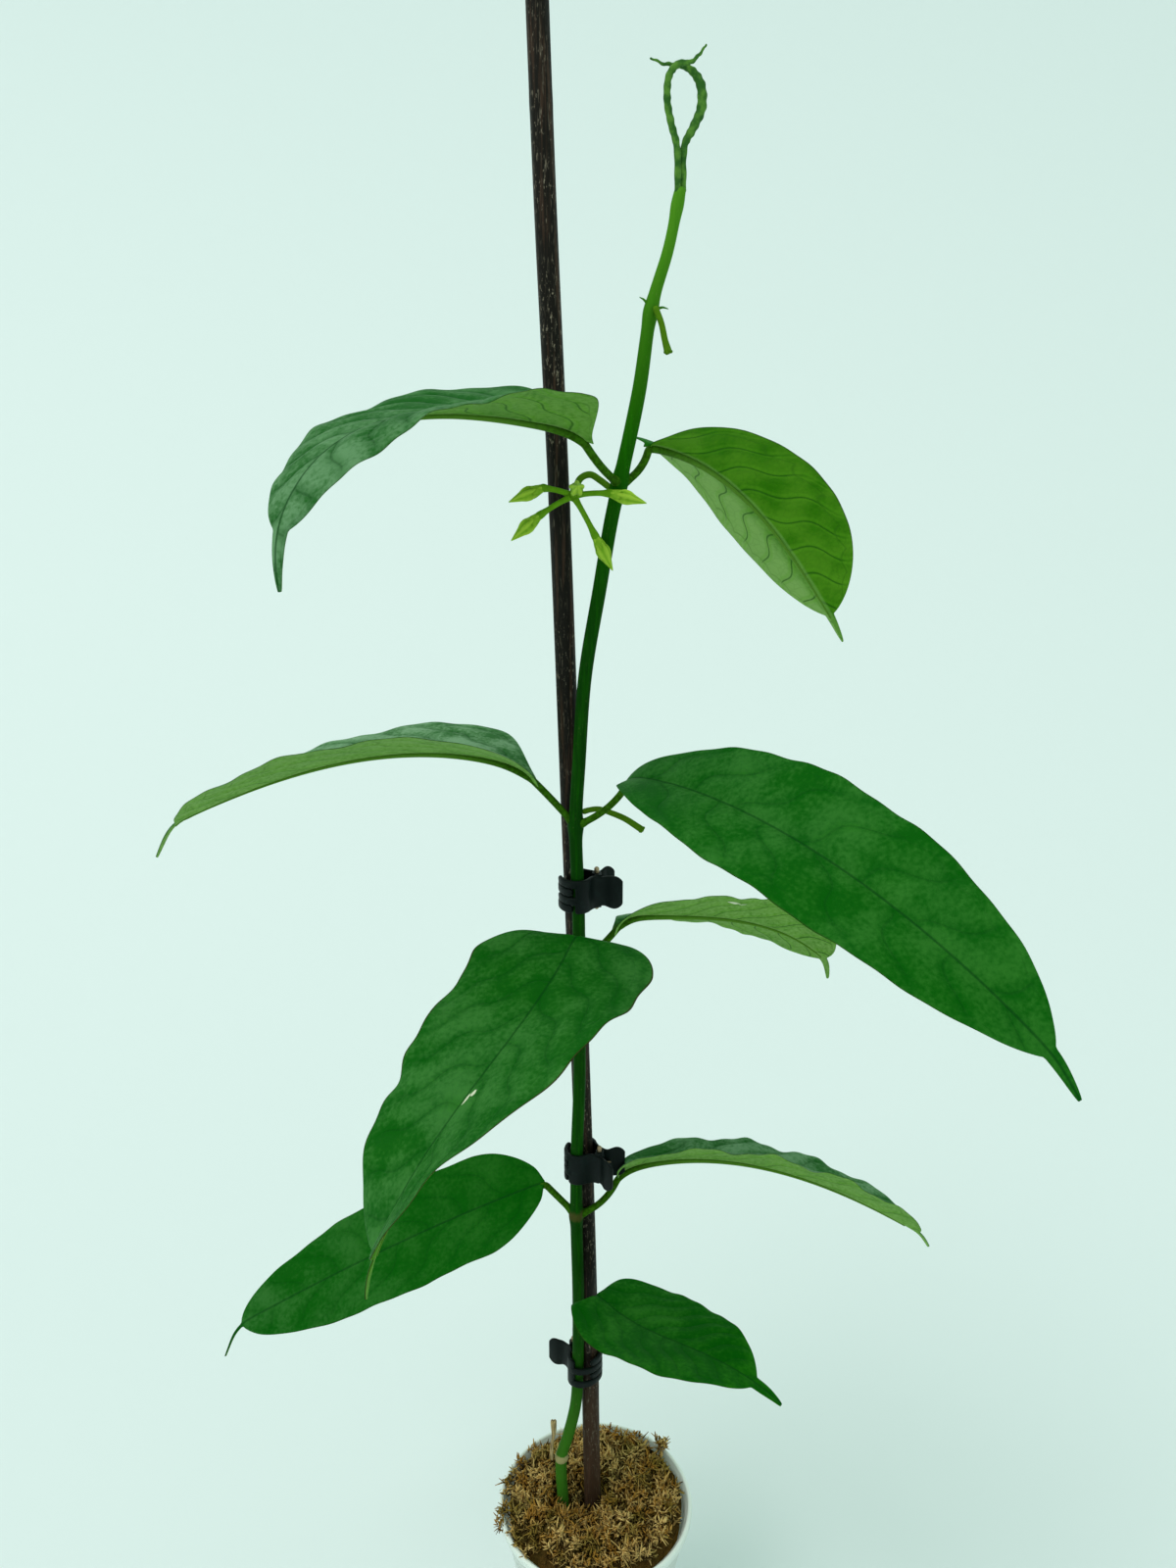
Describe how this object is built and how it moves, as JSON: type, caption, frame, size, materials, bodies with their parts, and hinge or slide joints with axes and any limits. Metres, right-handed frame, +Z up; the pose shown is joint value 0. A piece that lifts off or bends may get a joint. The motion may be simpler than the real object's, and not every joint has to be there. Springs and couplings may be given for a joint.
{
  "type": "potted climbing plant on a cane",
  "caption": "Climbing hoya in a small translucent nursery cup, its vine clipped to one thin cane, with paired arching leaves, a small umbel of buds and young leaves at the tip.",
  "frame": {"origin": "centre of the cup's flat base, on the surface that it stands on", "axes": "+Z up along the cane, +X to the plant's right as seen from the front, -Y towards the front"},
  "size_m": [0.2698, 0.1868, 0.6221],
  "materials": {
    "cup_plastic": "satin, white and translucent",
    "moss": "matte dried moss fibres",
    "cane": "satin, dark with pale flecks",
    "stem": "satin green bark",
    "leaf": "satin, waxy",
    "young_leaf": "satin",
    "bud": "satin, waxy",
    "dry_stalk": "matte",
    "clip_plastic": "satin black",
    "clip_steel": "satin"
  },
  "bodies": {
    "plant": {"cup": "cup_plastic", "moss": "moss", "cane": "cane", "stem": "stem", "dry_stub": "dry_stalk", "leaf_b_left": "leaf", "leaf_b_right": "leaf", "leaf_c_left": "leaf", "leaf_c_right": "leaf", "leaf_d_front": "leaf", "leaf_d_back": "leaf", "leaf_e_left": "leaf", "leaf_e_right": "leaf", "leaf_f_front": "leaf", "young_leaf_left": "young_leaf", "young_leaf_right": "young_leaf", "flower_stalk_top": "stem", "flower_stalk_middle": "stem", "flower_stalk": "bud", "bud_1": "bud", "bud_2": "bud", "bud_3": "bud", "bud_4": "bud", "bud_5": "bud", "clip_top_jaw_back": "clip_plastic", "clip_top_pin": "clip_steel", "clip_top_spring": "clip_steel", "clip_middle_jaw_back": "clip_plastic", "clip_middle_pin": "clip_steel", "clip_middle_spring": "clip_steel", "clip_bottom_jaw_back": "clip_plastic", "clip_bottom_pin": "clip_steel", "clip_bottom_spring": "clip_steel"},
    "clip_top_jaw": {"clip_top_jaw_front": "clip_plastic"},
    "clip_middle_jaw": {"clip_middle_jaw_front": "clip_plastic"},
    "clip_bottom_jaw": {"clip_bottom_jaw_front": "clip_plastic"}
  },
  "joints": [
    {"name": "clip_top_hinge", "type": "hinge", "parent": "plant", "child": "clip_top_jaw", "pos_m": [-0.00012, -0.00071, 0.3326], "axis": [0, 0, 1], "range_deg": [0, 24], "stiffness_Nm_per_rad": 0.01, "springref_deg": -34.38},
    {"name": "clip_middle_hinge", "type": "hinge", "parent": "plant", "child": "clip_middle_jaw", "pos_m": [0.00103, -0.00531, 0.2296], "axis": [0, 0, 1], "range_deg": [0, 24], "stiffness_Nm_per_rad": 0.01, "springref_deg": -34.38},
    {"name": "clip_bottom_hinge", "type": "hinge", "parent": "plant", "child": "clip_bottom_jaw", "pos_m": [-0.00857, 0.00427, 0.1402], "axis": [0, 0, 1], "range_deg": [0, 24], "stiffness_Nm_per_rad": 0.01, "springref_deg": -34.38}
  ]
}
